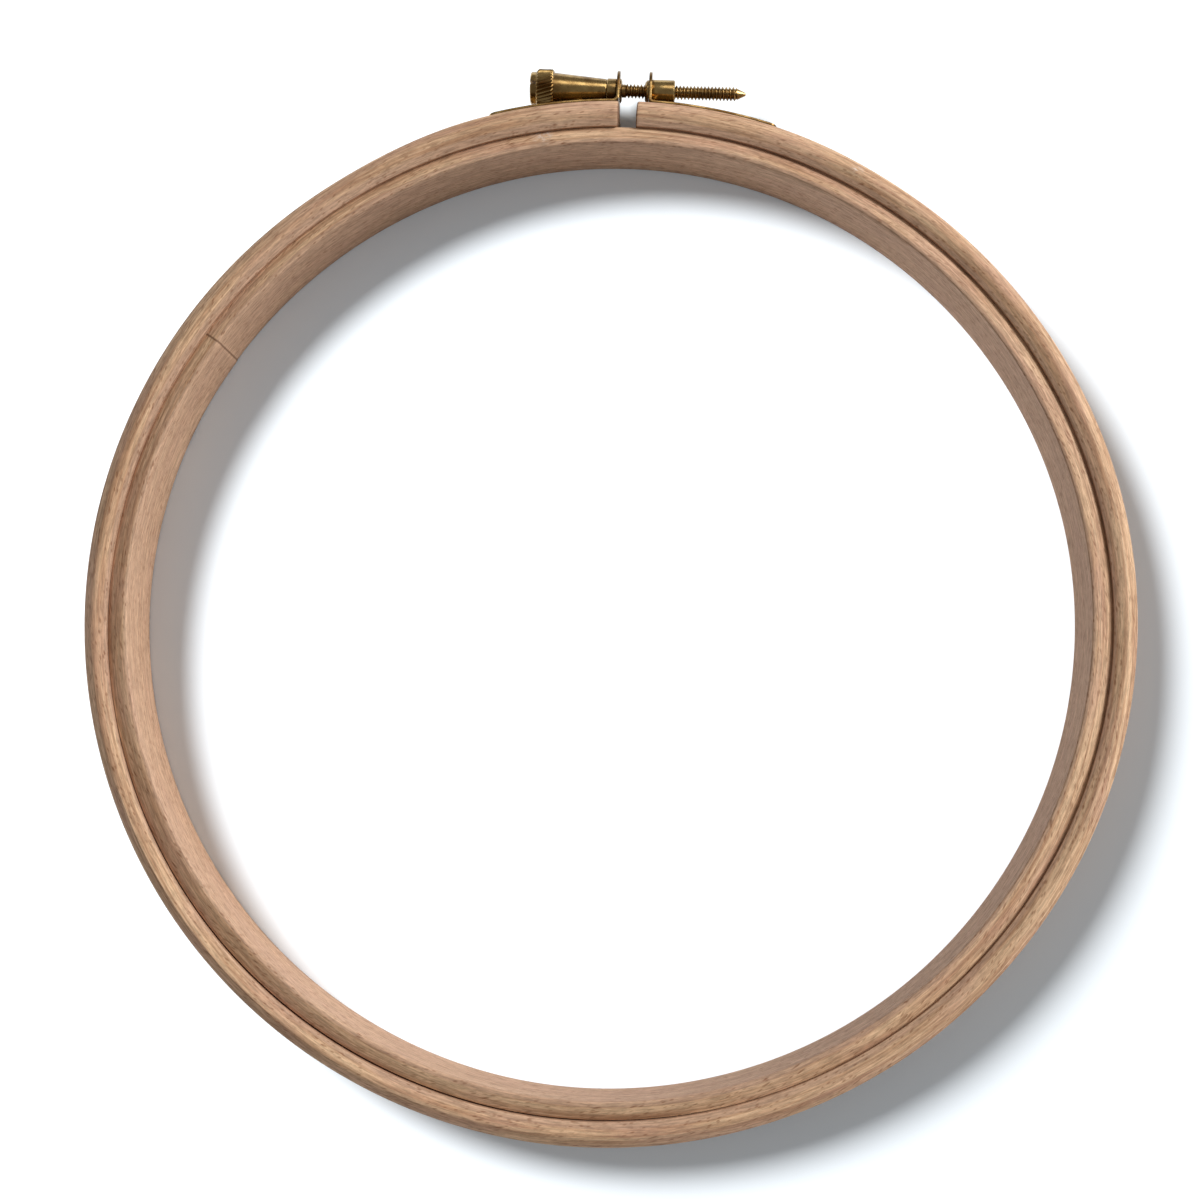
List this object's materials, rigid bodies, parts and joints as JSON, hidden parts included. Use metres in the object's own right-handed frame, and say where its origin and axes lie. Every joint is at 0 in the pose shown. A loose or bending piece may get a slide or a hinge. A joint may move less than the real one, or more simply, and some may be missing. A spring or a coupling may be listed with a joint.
{
  "type": "embroidery hoop",
  "caption": "Round wooden embroidery hoop: a plain inner ring inside a split outer ring that a brass thumb screw draws closed to hold fabric taut.",
  "frame": {"origin": "on the rings' common axis, at half the hoop's depth", "axes": "+Z along the rings' axis, out of the hoop as it lies on a table; +Y from the axis towards the slot in the outer ring; +X along the clamp screw, from its knurled head towards its point"},
  "size_m": [0.2, 0.2081, 0.016],
  "materials": {
    "outer_beech": "satin, grain along the strip",
    "inner_beech": "satin, grain along the strip",
    "sheet_brass": "rolled and sheared, lightly tarnished",
    "turned_brass": "turned, bright"
  },
  "bodies": {
    "outer_ring": {"outer_ring": "outer_beech", "left_bracket": "sheet_brass", "right_bracket": "sheet_brass", "left_bracket_pins": "turned_brass", "right_bracket_pins": "turned_brass", "lug_ferrule": "turned_brass", "barrel_nut": "turned_brass"},
    "inner_ring": {"inner_ring": "inner_beech"},
    "thrust_collar": {"thrust_collar": "turned_brass"},
    "clamp_screw": {"clamp_screw": "turned_brass"}
  },
  "joints": [
    {"name": "inner_ring_lift", "type": "slide", "parent": "outer_ring", "child": "inner_ring", "axis": [0, 0, 1], "range_m": [0, 0.022]},
    {"name": "screw_travel", "type": "slide", "parent": "outer_ring", "child": "thrust_collar", "axis": [-1, 0, 0], "range_m": [0, 0.0154]},
    {"name": "screw_turn", "type": "hinge", "parent": "thrust_collar", "child": "clamp_screw", "pos_m": [0, 0.1043, 0], "axis": [-1, 0, 0], "range_deg": [0, 7920]}
  ],
  "couplings": [
    {"joint": "screw_turn", "follows": "screw_travel", "rad_per_m": 8976}
  ]
}
